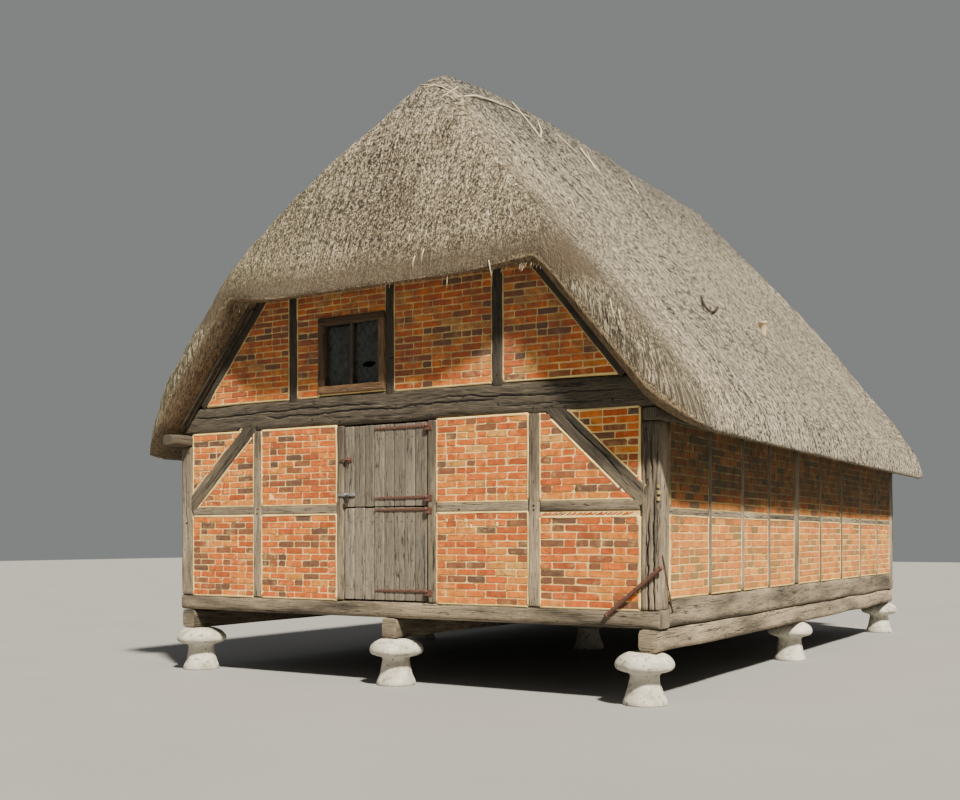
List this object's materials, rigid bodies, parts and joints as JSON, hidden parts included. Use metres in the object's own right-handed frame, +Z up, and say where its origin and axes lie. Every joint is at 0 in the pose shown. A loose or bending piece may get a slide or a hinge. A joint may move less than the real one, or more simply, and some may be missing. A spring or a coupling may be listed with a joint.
{
  "type": "thatched timber-framed granary on staddle stones",
  "caption": "Half-hipped thatched granary with a brick-filled timber frame on bearers and mushroom-shaped stones, a stable door in two leaves and a small gable window.",
  "frame": {"origin": "middle of the building's outline on the ground, between the feet of the staddle stones", "axes": "+Z up, +Y along the ridge from the door gable to the back gable, so the door faces -Y, and +X to the right seen from the door side"},
  "size_m": [6.8, 10.2, 6.8221],
  "materials": {
    "thatch": "weathered straw thatch, grey-brown, rough",
    "brick": "hand-made orange-red bricks with dark headers in pale lime mortar",
    "old_oak": "weathered grey-brown oak, cracked",
    "new_oak": "sawn oak, lightly weathered",
    "door_boards": "weathered grey boards",
    "floor_boards": "dry old boards",
    "window_glass": "dusty small panes in lead",
    "rusty_iron": "rusted wrought iron",
    "galvanised_steel": "dull zinc",
    "stone": "pale weathered limestone"
  },
  "bodies": {
    "granary": {"staddle_stone_left_front": "stone", "staddle_stone_left_middle": "stone", "staddle_stone_left_back": "stone", "staddle_stone_centre_front": "stone", "staddle_stone_centre_middle": "stone", "staddle_stone_centre_back": "stone", "staddle_stone_right_front": "stone", "staddle_stone_right_middle": "stone", "staddle_stone_right_back": "stone", "bearer_left": "old_oak", "bearer_centre": "old_oak", "bearer_right": "old_oak", "front_sill": "old_oak", "back_sill": "old_oak", "left_sill": "old_oak", "right_sill": "old_oak", "front_left_corner_post": "old_oak", "front_right_corner_post": "old_oak", "back_left_corner_post": "old_oak", "back_right_corner_post": "old_oak", "left_wall_plate": "old_oak", "right_wall_plate": "old_oak", "front_tie_beam": "old_oak", "back_tie_beam": "old_oak", "middle_tie_beam": "old_oak", "front_left_framing": "old_oak", "front_right_framing": "old_oak", "front_left_brickwork": "brick", "front_right_brickwork": "brick", "back_framing": "old_oak", "back_brickwork": "brick", "left_framing": "old_oak", "left_brickwork": "brick", "right_framing": "old_oak", "right_brickwork": "brick", "front_gable_frame": "old_oak", "back_gable_frame": "old_oak", "front_gable_brickwork": "brick", "back_gable_brickwork": "brick", "window_frame": "new_oak", "window_panes": "window_glass", "floor": "floor_boards", "loft_floor": "floor_boards", "rafters_and_purlins": "old_oak", "ridge_and_hip_rafters": "old_oak", "thatch_left": "thatch", "thatch_right": "thatch", "upper_leaf_upper_pintle": "rusty_iron", "upper_leaf_lower_pintle": "rusty_iron", "lower_leaf_upper_pintle": "rusty_iron", "lower_leaf_lower_pintle": "rusty_iron", "iron_prop_pole": "rusty_iron"},
    "upper_leaf": {"upper_door_leaf": "door_boards", "upper_leaf_upper_strap_hinge": "rusty_iron", "upper_leaf_lower_strap_hinge": "rusty_iron", "hasp_and_padlock": "galvanised_steel", "slide_bolt": "rusty_iron"},
    "lower_leaf": {"lower_door_leaf": "door_boards", "lower_leaf_upper_strap_hinge": "rusty_iron", "lower_leaf_lower_strap_hinge": "rusty_iron"}
  },
  "joints": [
    {"name": "upper_leaf_hinge", "type": "hinge", "parent": "granary", "child": "upper_leaf", "pos_m": [0.47, -4.668, 2.2], "axis": [0, 0, 1], "range_deg": [0, 170]},
    {"name": "lower_leaf_hinge", "type": "hinge", "parent": "granary", "child": "lower_leaf", "pos_m": [0.47, -4.668, 1.35], "axis": [0, 0, 1], "range_deg": [0, 170]}
  ]
}
